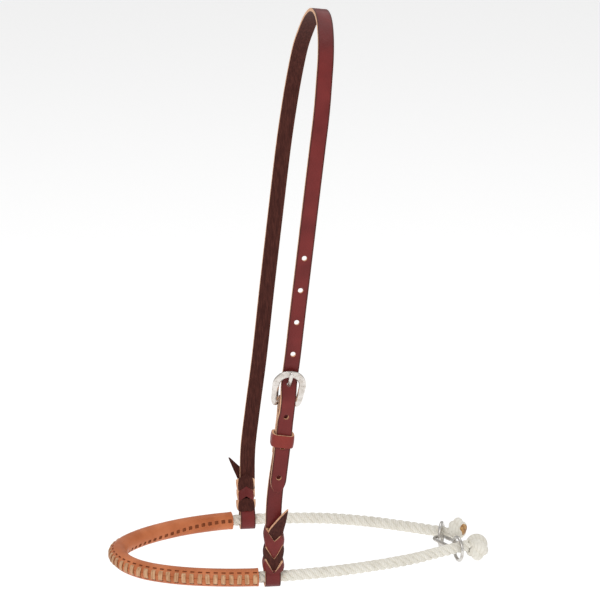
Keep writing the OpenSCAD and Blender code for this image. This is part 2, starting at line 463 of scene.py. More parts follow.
def new_group(name: str, inputs: dict[str, str], outputs: Sequence[str]) -> tuple[bpy.types.NodeTree, Graph]:
    """Starts a shader node group.

    Args:
        name: the group's name.
        inputs: each input's name and socket type.
        outputs: the names of its number outputs.

    Returns:
        The group's tree and a graph on it.
    """
    tree = bpy.data.node_groups.new(name, "ShaderNodeTree")
    for label, kind in inputs.items():
        tree.interface.new_socket(name=label, in_out="INPUT", socket_type=kind)
    for label in outputs:
        tree.interface.new_socket(name=label, in_out="OUTPUT", socket_type="NodeSocketFloat")
    return tree, Graph(tree)


NUMBER = "NodeSocketFloat"
VECTOR = "NodeSocketVector"


@dataclass(frozen=True)
class SharedEffects:
    """The effects that several finishes use, each a node group."""

    grain: bpy.types.NodeTree
    fibre: bpy.types.NodeTree
    handling: bpy.types.NodeTree

    @staticmethod
    def build() -> "SharedEffects":
        """Builds the three groups."""
        return SharedEffects(SharedEffects.leather_grain(), SharedEffects.raw_fibre(), SharedEffects.wear())

    @staticmethod
    def leather_grain() -> bpy.types.NodeTree:
        """Pebbles and creases of a leather's grain side, with its uneven dye."""
        tree, graph = new_group("leather_grain", {"Vector": VECTOR, "Pebbles": NUMBER}, ["Height", "Mottle"])
        given = graph.add("NodeGroupInput").outputs
        cells = graph.add("TexVoronoi", {"Vector": given["Vector"], "Scale": given["Pebbles"]}).outputs
        dye = graph.noise(given["Vector"], 45.0, 5.0)
        crease = graph.noise(graph.stretched(given["Vector"], (1.0, 1.0, 0.35)), 620.0, 4.0)
        height = graph.maths("ADD", graph.maths("MULTIPLY", cells["Distance"], 0.5), crease)
        graph.add("NodeGroupOutput", {"Height": height, "Mottle": graph.ramp(dye, 0.34, 0.68)})
        return tree

    @staticmethod
    def raw_fibre() -> bpy.types.NodeTree:
        """Loose fibres of a flesh side, a cut edge or rawhide."""
        tree, graph = new_group("raw_fibre", {"Vector": VECTOR, "Fineness": NUMBER}, ["Height", "Streak"])
        given = graph.add("NodeGroupInput").outputs
        tufts = graph.add("TexNoise", {"Vector": given["Vector"], "Scale": given["Fineness"], "Detail": 6.0})
        long_way = graph.stretched(given["Vector"], (1.0, 1.0, 0.12))
        streaks = graph.add("TexNoise", {"Vector": long_way, "Scale": given["Fineness"], "Detail": 2.0})
        streak = graph.ramp(streaks.outputs["Fac"], 0.36, 0.66)
        graph.add("NodeGroupOutput", {"Height": tufts.outputs["Fac"], "Streak": streak})
        return tree

    @staticmethod
    def wear() -> bpy.types.NodeTree:
        """Patches of handling: soil on rope and lace, polish on leather and dull spots on metal."""
        inputs = {"Vector": VECTOR, "Size": NUMBER, "Amount": NUMBER}
        tree, graph = new_group("handling", inputs, ["Mask"])
        given = graph.add("NodeGroupInput").outputs
        patches = graph.add("TexNoise", {"Vector": given["Vector"], "Scale": given["Size"], "Detail": 4.0})
        mask = graph.maths("MULTIPLY", graph.ramp(patches.outputs["Fac"], 0.42, 0.72), given["Amount"])
        graph.add("NodeGroupOutput", {"Mask": mask})
        return tree


@dataclass(frozen=True)
class Finish:
    """A surface finish. Each kind adds its own nodes in paint."""

    name: str
    colour: Colour
    deep: Colour
    roughness: float = 0.5
    shine: float = 0.2

    def material(self, effects: SharedEffects) -> bpy.types.Material:
        """Builds the material, with the numbers that don't vary on the shader's own sockets.

        Args:
            effects: the shared node groups.

        Returns:
            The material.
        """
        made = bpy.data.materials.new(self.name)
        made.use_nodes = True
        graph = Graph(made.node_tree)
        shader = made.node_tree.nodes["Principled BSDF"]
        shader.inputs["Roughness"].default_value = self.roughness
        shader.inputs["Specular IOR Level"].default_value = self.shine
        self.paint(graph, shader, effects)
        return made

    def paint(self, graph: Graph, shader: bpy.types.Node, effects: SharedEffects) -> None:
        """Adds the nodes of the finish and joins them to the shader."""
        raise NotImplementedError

    def join(self, graph: Graph, shader: bpy.types.Node, sockets: Setting) -> None:
        """Joins each output to the shader's input of that name."""
        for name, source in sockets.items():
            graph.tree.links.new(source, shader.inputs[name])

    def bump(self, graph: Graph, height: bpy.types.NodeSocket, strength: float, depth: float) -> object:
        """Returns a normal raised by the height, depth metres deep."""
        values = {"Height": height, "Strength": strength, "Distance": depth}
        return graph.add("Bump", values).outputs["Normal"]

    @staticmethod
    def group(graph: Graph, tree: bpy.types.NodeTree, values: Setting) -> bpy.types.Node:
        """Places a shared effect with its own values."""
        return graph.add("Group", values, node_tree=tree)


@dataclass(frozen=True)
class GrainLeather(Finish):
    """Oiled and dyed grain side, darker along its rim."""

    rim: Colour = (0.05, 0.02, 0.015)
    pebbles: float = 1100.0
    half_width: float = 0.0
    coat: float = 0.04

    def paint(self, graph: Graph, shader: bpy.types.Node, effects: SharedEffects) -> None:
        """Mottled dye, pebbled bump, a rim where the dye is darker, and hand polish.

        Args:
            graph: the material's node tree.
            shader: its Principled node.
            effects: the shared node groups.
        """
        place = graph.add("TexCoord").outputs["Object"]
        grain = self.group(graph, effects.grain, {"Vector": place, "Pebbles": self.pebbles}).outputs
        wear = self.group(graph, effects.handling, {"Vector": place, "Size": 60.0, "Amount": 1.0}).outputs
        shade = graph.blend(grain["Mottle"], (*self.deep, 1.0), (*self.colour, 1.0))
        if self.half_width:
            flat = graph.add("Attribute", attribute_name="flat_place").outputs["Vector"]
            over = graph.add("SeparateXYZ", {0: flat}).outputs["Y"]
            ragged = graph.maths("MULTIPLY", graph.noise(flat, 260.0), 0.0012)
            from_rim = graph.maths("ADD", graph.maths("ABSOLUTE", over), ragged)
            rim = graph.ramp(from_rim, self.half_width * 0.84, self.half_width * 1.06)
            shade = graph.blend(rim, shade, (*self.rim, 1.0))
        rough = graph.add("MapRange", {"Value": wear["Mask"], "To Min": self.roughness + 0.08,
                                       "To Max": self.roughness - 0.14}).outputs["Result"]
        normal = self.bump(graph, grain["Height"], 0.35, 0.0004)
        shader.inputs["Coat Weight"].default_value = self.coat
        shader.inputs["Coat Roughness"].default_value = 0.35
        self.join(graph, shader, {"Base Color": shade, "Roughness": rough, "Normal": normal})


@dataclass(frozen=True)
class RawLeather(Finish):
    """Undyed or unpolished leather: a flesh side, a cut edge or a lace of rawhide."""

    fineness: float = 900.0
    depth: float = 0.0005
    soil: float = 0.6

    def paint(self, graph: Graph, shader: bpy.types.Node, effects: SharedEffects) -> None:
        """Streaked fibres with soil in patches.

        Args:
            graph: the material's node tree.
            shader: its Principled node.
            effects: the shared node groups.
        """
        place = graph.add("TexCoord").outputs["Object"]
        fibre = self.group(graph, effects.fibre, {"Vector": place, "Fineness": self.fineness}).outputs
        wear = self.group(graph, effects.handling, {"Vector": place, "Size": 140.0, "Amount": self.soil})
        streaked = graph.blend(fibre["Streak"], (*self.deep, 1.0), (*self.colour, 1.0))
        shade = graph.blend(wear.outputs["Mask"], streaked, (*self.deep, 1.0))
        normal = self.bump(graph, fibre["Height"], 0.5, self.depth)
        shader.inputs["Sheen Weight"].default_value = 0.08
        self.join(graph, shader, {"Base Color": shade, "Normal": normal})


@dataclass(frozen=True)
class LaidStrand(Finish):
    """Twisted yarn of a rope strand, with fine yarn lines that cross the strand."""

    yarns: float = 5.0
    lay: float = 0.011

    def paint(self, graph: Graph, shader: bpy.types.Node, effects: SharedEffects) -> None:
        """Yarn ridges from the strand's own length and turn, painted shade in the grooves between them, and
        light soil.

        Args:
            graph: the material's node tree.
            shader: its Principled node.
            effects: the shared node groups.
        """
        place = graph.add("TexCoord").outputs["Object"]
        flat = graph.add("Attribute", attribute_name="flat_place").outputs["Vector"]
        parts = graph.add("SeparateXYZ", {0: flat}).outputs
        along = graph.maths("MULTIPLY", parts["X"], 2 * math.pi * self.yarns / self.lay)
        around = graph.maths("MULTIPLY", parts["Y"], self.yarns)
        ridge = graph.maths("SINE", graph.maths("SUBTRACT", along, around))
        fuzz = graph.noise(place, 2600.0, 4.0)
        height = graph.maths("ADD", graph.maths("MULTIPLY", ridge, 0.2), fuzz)
        wear = self.group(graph, effects.handling, {"Vector": place, "Size": 90.0, "Amount": 0.5}).outputs
        # Painted shade: the deep colour darkens the low side of each yarn ridge.
        groove_painted_shade = graph.ramp(ridge, -2.6, 0.2)
        soiled = graph.blend(wear["Mask"], (*self.colour, 1.0), (*self.deep, 1.0))
        shade = graph.blend(groove_painted_shade, (*self.deep, 1.0), soiled)
        normal = self.bump(graph, height, 0.35, 0.0004)
        shader.inputs["Sheen Weight"].default_value = 0.25
        self.join(graph, shader, {"Base Color": shade, "Normal": normal})


@dataclass(frozen=True)
class Nickel(Finish):
    """Bright nickel plate with a faint brushing, dull where it is handled."""

    def paint(self, graph: Graph, shader: bpy.types.Node, effects: SharedEffects) -> None:
        """Metal with uneven polish.

        Args:
            graph: the material's node tree.
            shader: its Principled node.
            effects: the shared node groups.
        """
        place = graph.add("TexCoord").outputs["Object"]
        wear = self.group(graph, effects.handling, {"Vector": place, "Size": 210.0, "Amount": 1.0}).outputs
        shade = graph.blend(wear["Mask"], (*self.colour, 1.0), (*self.deep, 1.0))
        rough = graph.add("MapRange", {"Value": wear["Mask"], "To Min": self.roughness,
                                       "To Max": self.roughness + 0.22}).outputs["Result"]
        brushed = graph.noise(graph.stretched(place, (1.0, 1.0, 0.2)), 3000.0)
        shader.inputs["Metallic"].default_value = 1.0
        normal = self.bump(graph, brushed, 0.12, 0.0002)
        self.join(graph, shader, {"Base Color": shade, "Roughness": rough, "Normal": normal})


@dataclass(frozen=True)
class Melted(Finish):
    """Rope end sealed by melting: amber, smooth and blotched."""

    def paint(self, graph: Graph, shader: bpy.types.Node, effects: SharedEffects) -> None:
        """Amber blotches with a waxy surface.

        Args:
            graph: the material's node tree.
            shader: its Principled node.
            effects: the shared node groups.
        """
        place = graph.add("TexCoord").outputs["Object"]
        blotch = graph.ramp(graph.noise(place, 420.0, 4.0), 0.38, 0.64)
        shade = graph.blend(blotch, (*self.deep, 1.0), (*self.colour, 1.0))
        normal = self.bump(graph, graph.noise(place, 900.0), 0.4, 0.0006)
        shader.inputs["Coat Weight"].default_value = 0.3
        self.join(graph, shader, {"Base Color": shade, "Normal": normal})


class Palette:
    """Every finish of the object, built once."""

    def __init__(self) -> None:
        """Builds the shared effects and the materials."""
        effects = SharedEffects.build()
        half = STRAP_WIDTH / 2 * MM
        self.grain = GrainLeather("strap_grain", (0.185, 0.024, 0.022), (0.125, 0.016, 0.015), 0.42,
                                  rim=(0.055, 0.010, 0.008), half_width=half).material(effects)
        knot_grain = GrainLeather("knot_grain", (0.190, 0.024, 0.022), (0.12, 0.015, 0.014), 0.42)
        self.ply = knot_grain.material(effects)
        self.flesh = RawLeather("strap_flesh", (0.088, 0.027, 0.020), (0.048, 0.014, 0.011), 0.8,
                                shine=0.05).material(effects)
        self.cut = RawLeather("cut_edge", (0.84, 0.53, 0.33), (0.58, 0.28, 0.15), 0.7, fineness=1500.0,
                              soil=0.3).material(effects)
        self.keeper = GrainLeather("keeper_grain", (0.27, 0.036, 0.026), (0.19, 0.024, 0.018), 0.4,
                                   pebbles=1300.0).material(effects)
        self.cover = GrainLeather("cover_grain", (0.62, 0.20, 0.08), (0.44, 0.12, 0.04), 0.46,
                                  pebbles=1500.0).material(effects)
        # Dark brown of the slit dents: painted shade for the depth of the lace slits, over streaked raw leather.
        self.slit_painted_shade = RawLeather("cover_slit_painted_shade", (0.30, 0.085, 0.03), (0.17, 0.046, 0.018), 0.8,
                                     shine=0.05).material(effects)
        self.rawhide = RawLeather("rawhide_lace", (0.66, 0.39, 0.22), (0.42, 0.21, 0.10), 0.55,
                                  fineness=700.0, soil=0.35).material(effects)
        self.rope = LaidStrand("rope_strand", (0.83, 0.80, 0.72), (0.62, 0.58, 0.49), 0.8).material(effects)
        self.nickel = Nickel("nickel_plate", (0.72, 0.68, 0.64), (0.52, 0.47, 0.42), 0.2).material(effects)
        self.wire = Nickel("nickel_wire", (0.66, 0.64, 0.61), (0.42, 0.39, 0.35), 0.24).material(effects)
        self.thread = RawLeather("waxed_thread", (0.66, 0.52, 0.34), (0.42, 0.30, 0.17), 0.5,
                                 fineness=2600.0).material(effects)
        self.melted = Melted("melted_rope", (0.62, 0.36, 0.14), (0.30, 0.14, 0.05), 0.35).material(effects)

    def leather(self, face: Face, edge: bpy.types.Material | None = None) -> list[bpy.types.Material]:
        """Returns a strap's three materials: outer side, inner side and cut edge."""
        sides = [self.ply, self.flesh] if face is Face.GRAIN else [self.flesh, self.ply]
        return [*sides, edge or self.cut]


# ---------------------------------------------------------------- leather


def thicken(piece: bpy.types.Object, thickness: float, offset: float, bevel: float) -> None:
    """Gives flat leather its thickness, eased edges and a smooth surface.

    Args:
        piece: a sheet whose normals look to its outer side, with three or more materials.
        thickness: in metres.
        offset: -1 grows it inwards, 0 both ways and 1 outwards.
        bevel: the width of the eased edge, in metres.
    """
    apply(piece, "SOLIDIFY", thickness=thickness, offset=offset, use_even_offset=True,
          material_offset=1, material_offset_rim=2)
    apply(piece, "BEVEL", width=bevel, segments=2, limit_method="ANGLE", angle_limit=math.radians(50.0))
    apply(piece, "SUBSURF", levels=1, render_levels=1)


@dataclass
class StrapCut:
    """A strap before it is fitted: cut to width, punched, and eased along its edges. Millimetres."""

    length: float
    holes: Sequence[tuple[float, float]] = ()
    spacing: float = 4.0
    tight: tuple[float, float] | None = None
    tight_spacing: float = 1.1
    rows: int = 8
    point_length: float = 0.0
    thickness: float = STRAP_THICKNESS
    width: float = STRAP_WIDTH

    def columns(self) -> np.ndarray:
        """Returns the places of the cuts along the strap, closer round each hole and in a tight bend."""
        cell = self.width / self.rows
        fixed = [c + k * cell for c, _ in self.holes for k in (-2.1, -1.0, 0.0, 1.0, 2.1)]
        plain = list(np.linspace(0.0, self.length, int(self.length / self.spacing) + 1))
        if self.tight:
            plain += list(np.arange(self.tight[0], self.tight[1], self.tight_spacing))
        clear = [p for p in plain if all(abs(p - f) > 0.8 * cell for f in fixed) or p in (0.0, self.length)]
        kept = [clear_place for clear_place in sorted(set(clear)) if 0.0 <= clear_place <= self.length]
        places = [kept[0]] + [b for a, b in zip(kept, kept[1:]) if b - a > 0.3]
        return np.array(sorted(places + fixed)) * MM

    def make(self, name: str, materials: Sequence[bpy.types.Material]) -> bpy.types.Object:
        """Makes the strap flat along X, with its outer side up.

        Args:
            name: the object's name.
            materials: of the outer side, the inner side and the cut edge.

        Returns:
            The thick strap, still flat.
        """
        over = np.linspace(-0.5, 0.5, self.rows + 1) * self.width * MM
        strap = flat_sheet(name, self.columns(), over)
        for material in materials:
            strap.data.materials.append(material)
        cell = self.width / self.rows * MM
        with edit(strap):
            pick(strap, lambda c, n: any(abs(c.x - h * MM) < cell and abs(c.y) < cell for h, _ in self.holes))
            bpy.ops.mesh.delete(type="FACE")
        points = vertices(strap)
        for hole, radius in self.holes:
            from_hole = points[:, :2] - np.array([hole * MM, 0.0])
            reach = np.linalg.norm(from_hole, axis=1)
            rim = (np.abs(from_hole) < cell * 1.02).all(axis=1)
            points[rim, :2] += from_hole[rim] * (radius * 1.08 * MM / reach[rim] - 1.0)[:, None]
        if self.point_length:
            to_end = (self.length * MM - points[:, 0]) / (self.point_length * MM)
            points[:, 1] *= np.clip(0.35 + 0.65 * np.sqrt(np.clip(to_end, 0.0, 1.0)), 0.0, 1.0)
        set_vertices(strap, points)
        keep_flat_place(strap)
        thicken(strap, self.thickness * MM, 0.0, 0.42 * MM)
        return strap


@dataclass
class Headstall:
    """Crown strap over the poll, and the near cheek strap that is folded round the buckle's bar."""

    palette: Palette
    fold_length: float = 44.0
    tail_twist: float = 15.0
    stitch_rows: tuple[float, float] = (-4.0, 4.0)
    off_cheek: Sequence[Point] = (
        (-50.8, 73.9, -427), (-50.6, 76.5, -411.6), (-49.8, 78, -385), (-45.8, 80.8, -354), (-39, 84.5, -306),
        (-32, 87.3, -246), (-25.5, 87.8, -190), (-18.4, 86.4, -128), (-13.2, 83.7, -89), (-9.3, 79, -62))
    poll_arch: Sequence[Point] = (
        (-6.2, 69, -39.5), (-3.2, 56, -23), (-1, 40, -10), (0.6, 21, -1.4), (1, 0, 1.4), (0.6, -21, -1.4),
        (-0.8, -40, -10), (-3, -56, -23), (-6, -69, -39.5))
    near_cheek: Sequence[Point] = (
        (-9.3, -79, -62), (-13.2, -83.7, -89), (-18.2, -86.2, -128), (-24.2, -87.6, -178), (-29.4, -87.8, -222))
    over_buckle: Sequence[tuple[float, float]] = (
        (0, 46), (0, 34), (-0.7, 27), (-1.2, 21), (-0.9, 16.5), (0.8, 10), (2.4, 4.5), (TAIL_OUT, 0),
        (TAIL_OUT, -6), (TAIL_OUT, -30), (TAIL_OUT, -54), (TAIL_OUT, -TAIL_LENGTH))
    lower_cheek: Sequence[Point] = (
        (-46.8, -70.4, -427), (-47.1, -74.5, -405), (-47, -77.4, -384), (-45.6, -80.4, -363))

    def crown_path(self) -> Path:
        """Returns the crown strap's path, from the off knot over the poll to the tail's end."""
        fitted = [at_buckle(out, up) for out, up in self.over_buckle]
        return Path([*self.off_cheek, *self.poll_arch, *self.near_cheek, *fitted], across=ACROSS)

    def cheek_path(self) -> Path:
        """Returns the cheek strap's path, up from the near knot and round the heel bar."""
        straight = [at_buckle(0.0, up) for up in (-46.0, -30.0, -12.0)]
        turn = [at_buckle(-ROUND_BAR + ROUND_BAR * math.cos(a), ROUND_BAR * math.sin(a))
                for a in np.radians(np.arange(0, 181, 30))]
        back = [at_buckle(-TAIL_OUT - 1.6, -7.0), at_buckle(-TAIL_OUT, -14.0), at_buckle(-TAIL_OUT, -28.0),
                at_buckle(-TAIL_OUT, -self.fold_length)]
        return Path([*self.lower_cheek, *straight, *turn, *back], across=ACROSS, turned=True)

    def crown_strap(self) -> bpy.types.Object:
        """Makes the crown strap, with its tail a little twisted in front of the buckle."""
        path = self.crown_path()
        length = path.length / MM
        first = length - TAIL_LENGTH - TONGUE_HOLE
        holes = [(first - k * HOLE_PITCH, HOLE_RADIUS if k else TONGUE_HOLE_RADIUS) for k in range(-3, 5)]
        cut = StrapCut(length, holes=holes, point_length=7.0)
        strap = cut.make("crown_strap_leather", [self.palette.grain, self.palette.flesh, self.palette.cut])
        flat = vertices(strap)
        up = (length - TAIL_LENGTH) - flat[:, 0] / MM
        share = smoothstep(-up, -16.0, -2.0) * (1.0 - smoothstep(-up, 5.0, 15.5))
        angle = np.radians(self.tail_twist) * share
        over, out = flat[:, 1].copy(), flat[:, 2].copy()
        flat[:, 1] = over * np.cos(angle) + out * np.sin(angle)
        flat[:, 1] += 0.5 * MM * smoothstep(-up, 4.0, 34.0)
        flat[:, 2] = out * np.cos(angle) - over * np.sin(angle) + 1.7 * MM * share
        set_vertices(strap, flat)
        path.lay(strap)
        smooth(strap)
        return strap

    def cheek_strap(self) -> bpy.types.Object:
        """Makes the cheek strap with its fold."""
        path = self.cheek_path()
        length = path.length / MM
        fold = (length - self.fold_length - 24.0, length - self.fold_length + 14.0)
        cut = StrapCut(length, tight=fold)
        strap = cut.make("cheek_strap_leather", [self.palette.grain, self.palette.flesh, self.palette.cut])
        path.lay(strap)
        smooth(strap)
        return strap

    def fold_stitches(self) -> bpy.types.Object:
        """Makes two rows of stitches on the back of the fold."""
        made = []
        for over in self.stitch_rows:
            for up in np.arange(-37.0, -16.0, 4.0):
                ends = [at_buckle(-TAIL_OUT - STRAP_THICKNESS / 2 - depth, up + w, over)
                        for depth, w in ((-0.5, -1.6), (0.02, -1.0), (0.12, 0.0), (0.02, 1.0), (-0.5, 1.6))]
                path = Path(ends, across=ACROSS)
                stitch = bar_stock("stitch", path.length, 8, 8)
                flat = vertices(stitch)
                flat[:, 1:] *= 0.34
                set_vertices(stitch, flat)
                path.lay(stitch)
                made.append(stitch)
        piece = join("fold_stitches", made)
        piece.data.materials.append(self.palette.thread)
        smooth(piece)
        return piece

    def build(self) -> None:
        """Builds the straps and dresses them on the headstall."""
        for piece, node, slot in ((self.crown_strap(), "crown_strap", "strap_leather"),
                                  (self.cheek_strap(), "cheek_strap", "strap_leather"),
                                  (self.fold_stitches(), "fold_stitching", "thread")):
            fit(piece, "headstall", slot, node)


def fit(piece: bpy.types.Object, body: str, slot: str, *nodes: str) -> None:
    """Makes the piece ride a body and stand for its CAD nodes.

    Args:
        piece: the mesh object.
        body: the body it moves with.
        slot: its material slot in the frame; not used.
        nodes: the CAD nodes it stands for.
    """
    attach(piece, body)
    if nodes:
        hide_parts(*nodes)
    LOG.info("%s rides %s, %d faces", piece.name, body, len(piece.data.polygons))


@dataclass
class Ply:
    """One strap that is drawn through another's slit: a tilted collar with a V in front. Millimetres."""

    tip: float
    height: float
    rise: float
    half_width: float
    half_depth: float
    face: Face = Face.GRAIN
    skew: float = 0.0
    ridge: float = 5.2


@dataclass
class BleedKnot:
    """Three plies drawn through each other above the loop that holds the rope. Millimetres.

    side is -1 for the near knot and 1 for the off one: the way that outwards points on Y.
    """

    palette: Palette
    name: str
    at: Point
    lean: float
    side: int
    plies: Sequence[Ply]
    tail_left: Sequence[Point]
    tail_right: Sequence[Point]
    tail_out: tuple[float, float]
    tail_face: Face
    loop_shift: float
    front_from: float = 0.1
    back_from: float = 0.1
    ply_thickness: float = 2.3
    middle: float = 0.0
    foot: float = 5.4
    foot_rise: float = 0.32
    edge_from: float = 2.0

    def place(self, over: np.ndarray, out: np.ndarray, up: np.ndarray) -> np.ndarray:
        """Returns places of the knot's own frame in the object's frame, in metres.

        Args:
            over: the distance along the rope, in millimetres.
            out: the distance out from the strap.
            up: the height above the rope.

        Returns:
            The places as rows, in metres.
        """
        turn = math.radians(self.lean)
        y = self.side * out
        level = y * math.cos(turn) - up * math.sin(turn)
        height = y * math.sin(turn) + up * math.cos(turn)
        return (np.stack([over, level, height]).T + np.array(self.at)) * MM

    def collar(self, ply: Ply, number: int) -> bpy.types.Object:
        """Makes one ply: an open ring of leather, low in front, high behind, and fuller at its top.

        Args:
            ply: the ply's own sizes.
            number: its place in the knot, counted from the rope.

        Returns:
            The finished ply.
        """
        around = np.linspace(0.0, 1.0, 57)
        rows = np.linspace(0.0, 1.0, 8)
        name = f"{self.name}_ply_{number}"
        sheet = flat_sheet(name, around, rows)
        for material in self.palette.leather(ply.face):
            sheet.data.materials.append(material)
        for face in sheet.data.polygons:
            if abs(math.sin((face.center.x * 2.0 + 1.0) * math.pi)) > self.edge_from:
                face.material_index = 2
        flat = vertices(sheet)
        turn = (flat[:, 0] * 2.0 + 1.0) * math.pi
        share = flat[:, 1]
        across = np.sin(turn)
        ahead = np.cos(turn)
        in_front = smoothstep(ahead, self.front_from, self.front_from + 0.6)
        at_back = smoothstep(-ahead, self.back_from, self.back_from + 0.6)
        lobe = 0.76 + 0.24 * np.sin(math.pi * share)
        swell = in_front * self.shingle(share) + at_back * self.shingle(1.0 - share)
        swell += (1.0 - in_front - at_back) * lobe
        over = ply.half_width * swell * np.sign(across) * np.abs(across) ** 0.86
        out = ply.half_depth * swell * np.sign(ahead) * np.abs(ahead) ** 0.8
        slope = np.abs(over) / ply.half_width
        front = ply.rise * slope
        behind = ply.rise + ply.ridge * (1.0 - slope)
        turned = np.where(ahead >= 0.0, front, behind)
        crease = 0.55 * np.exp(-((over / 1.5) ** 2)) * (ahead > 0)
        up = ply.tip - ply.height * (1.0 - share) + turned - ply.skew * over / ply.half_width
        over = over + self.middle
        clear = self.foot + self.foot_rise * np.abs(over)
        set_vertices(sheet, self.place(over, out - crease, np.maximum(up, clear)))
        with edit(sheet, "VERT"):
            bpy.ops.mesh.select_all(action="SELECT")
            bpy.ops.mesh.remove_doubles(threshold=0.02 * MM)
            bpy.ops.mesh.normals_make_consistent(inside=False)
        self.face_out(sheet)
        thicken(sheet, self.ply_thickness * MM, -1.0, 0.4 * MM)
        smooth(sheet)
        return sheet

    @staticmethod
    def shingle(share: np.ndarray) -> np.ndarray:
        """Returns how full a ply is between its tucked rim at 0 and its outer rim at 1."""
        return 0.78 + 0.22 * np.sin(np.clip(share / 0.7, 0.0, 1.0) * math.pi / 2)

    def face_out(self, sheet: bpy.types.Object) -> None:
        """Turns an open ring's faces away from the knot's middle.

        Args:
            sheet: the ring of faces.
        """
        middle = np.mean(vertices(sheet), axis=0)
        away = sum((Vector(face.center) - Vector(middle)).dot(face.normal) for face in sheet.data.polygons)
        if away < 0.0:
            with edit(sheet):
                bpy.ops.mesh.select_all(action="SELECT")
                bpy.ops.mesh.flip_normals()

    def loop(self) -> bpy.types.Object:
        """Makes the strap's turn round the rope, which holds in the knot."""
        radius = ROPE_DIAMETER / 2 + 0.5 + STRAP_THICKNESS / 2
        front = [(0.8, 17.0), (1.6, 12.5), (3.1, 9.0), (6.0, 5.4)]
        under = [(radius * math.cos(a), radius * math.sin(a)) for a in np.radians(np.arange(0, -181, -30))]
        route = [*front, *under, *[(-out, up) for out, up in reversed(front)]]
        points = [self.place(np.array([self.loop_shift]), np.array([out]), np.array([up]))[0] / MM
                  for out, up in route]
        path = Path(points, across=(1.0, 0.0, 0.0), turned=self.side > 0)
        cut = StrapCut(path.length / MM, spacing=1.6)
        strap = cut.make(f"{self.name}_loop", [self.palette.grain, self.palette.flesh, self.palette.cut])
        path.lay(strap)
        smooth(strap)
        return strap

    def tail(self) -> bpy.types.Object:
        """Makes the strap's pointed end, which leaves the top of the knot flesh side out."""
        share = np.linspace(0.0, 1.0, 25)
        sheet = flat_sheet(f"{self.name}_tail", share, np.linspace(0.0, 1.0, 9))
        for material in self.palette.leather(self.tail_face):
            sheet.data.materials.append(material)
        flat = vertices(sheet)
        sides = []
        for edge in (self.tail_left, self.tail_right):
            line = smooth_line(edge, 8)
            reach = np.linspace(0.0, 1.0, len(line))
            sides.append(np.stack([np.interp(flat[:, 0], reach, line[:, k]) for k in range(2)], axis=1))
        spot = sides[0] + (sides[1] - sides[0]) * flat[:, 1:2]
        curl = 0.9 * (2.0 * flat[:, 1] - 1.0) ** 2 * (1.0 - flat[:, 0])
        out = self.tail_out[0] + (self.tail_out[1] - self.tail_out[0]) * flat[:, 0] ** 1.4 + curl
        set_vertices(sheet, self.place(spot[:, 0], out, spot[:, 1]))
        normal = sum((face.normal for face in sheet.data.polygons), Vector())
        if normal.y * self.side < 0.0:
            with edit(sheet):
                bpy.ops.mesh.select_all(action="SELECT")
                bpy.ops.mesh.flip_normals()
        thicken(sheet, 2.0 * MM, -1.0, 0.3 * MM)
        smooth(sheet)
        return sheet

    def build(self, knot_node: str, tail_node: str, loop_node: str) -> None:
        """Builds the knot on the headstall, and its loop round the rope in place of the loop's CAD node.

        Args:
            knot_node: the CAD node of the knot.
            tail_node: the CAD node of its tail.
            loop_node: the CAD node of the turned strap end.
        """
        plies = [self.collar(ply, number) for number, ply in enumerate(self.plies, 1)]
        fit(plies[0], "headstall", "strap_leather", knot_node)
        for ply in plies[1:]:
            fit(ply, "headstall", "strap_leather")
        fit(self.tail(), "headstall", "strap_leather", tail_node)
        loop = self.loop()
        one = np.array([0.0])
        start = self.place(one, one, np.array([15.0]))[0]
        end = self.place(one, one, np.array([6.0]))[0]
        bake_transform(loop)
        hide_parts(loop_node)
        LOG.info("%s bends from headstall to noseband", loop.name)


@dataclass
class Keeper:
    """Leather keeper that holds the crown strap's tail on the cheek strap. Millimetres."""

    palette: Palette
    height: float = 10.0
    drop: float = 31.0
    inner_width: float = 13.8
    inner_depth: float = 9.9
    thickness: float = 2.1

    def build(self) -> None:
        """Builds the keeper as a band bent to a rounded rectangle."""
        bpy.ops.object.select_all(action="DESELECT")
        bpy.ops.mesh.primitive_cylinder_add(vertices=72, radius=1.0, depth=1.0, end_fill_type="NOTHING")
        band = named(bpy.context.object, "keeper_band")
        with edit(band):
            for cut in (-0.4, -0.2, 0.0, 0.2, 0.4):
                bpy.ops.mesh.select_all(action="SELECT")
                bpy.ops.mesh.bisect(plane_co=(0, 0, cut), plane_no=(0, 0, 1))
        for material in (self.palette.keeper, self.palette.flesh, self.palette.cut):
            band.data.materials.append(material)
        ring = vertices(band)
        angle = np.arctan2(ring[:, 1], ring[:, 0])
        half_x = self.inner_width / 2
        half_y = self.inner_depth / 2
        power = 5.0
        wide = np.abs(np.cos(angle) / half_x) ** power
        reach = (wide + np.abs(np.sin(angle) / half_y) ** power) ** (-1 / power)
        bulge = 0.35 * (1.0 - (2.0 * ring[:, 2]) ** 2)
        over = (reach + bulge) * np.cos(angle)
        out = -(reach + bulge) * np.sin(angle)
        up = ring[:, 2] * self.height - self.drop - 0.045 * over
        places = np.array([at_buckle(o, u, a) for o, u, a in zip(out, up, over)])
        set_vertices(band, places * MM)
        middle = Vector(places.mean(axis=0) * MM)
        away = sum((Vector(face.center) - middle).dot(face.normal) for face in band.data.polygons)
        if away < 0.0:
            with edit(band):
                bpy.ops.mesh.select_all(action="SELECT")
                bpy.ops.mesh.flip_normals()
        thicken(band, self.thickness * MM, 1.0, 0.35 * MM)
        smooth(band)
        fit(band, "keeper", "keeper_leather", "strap_keeper")


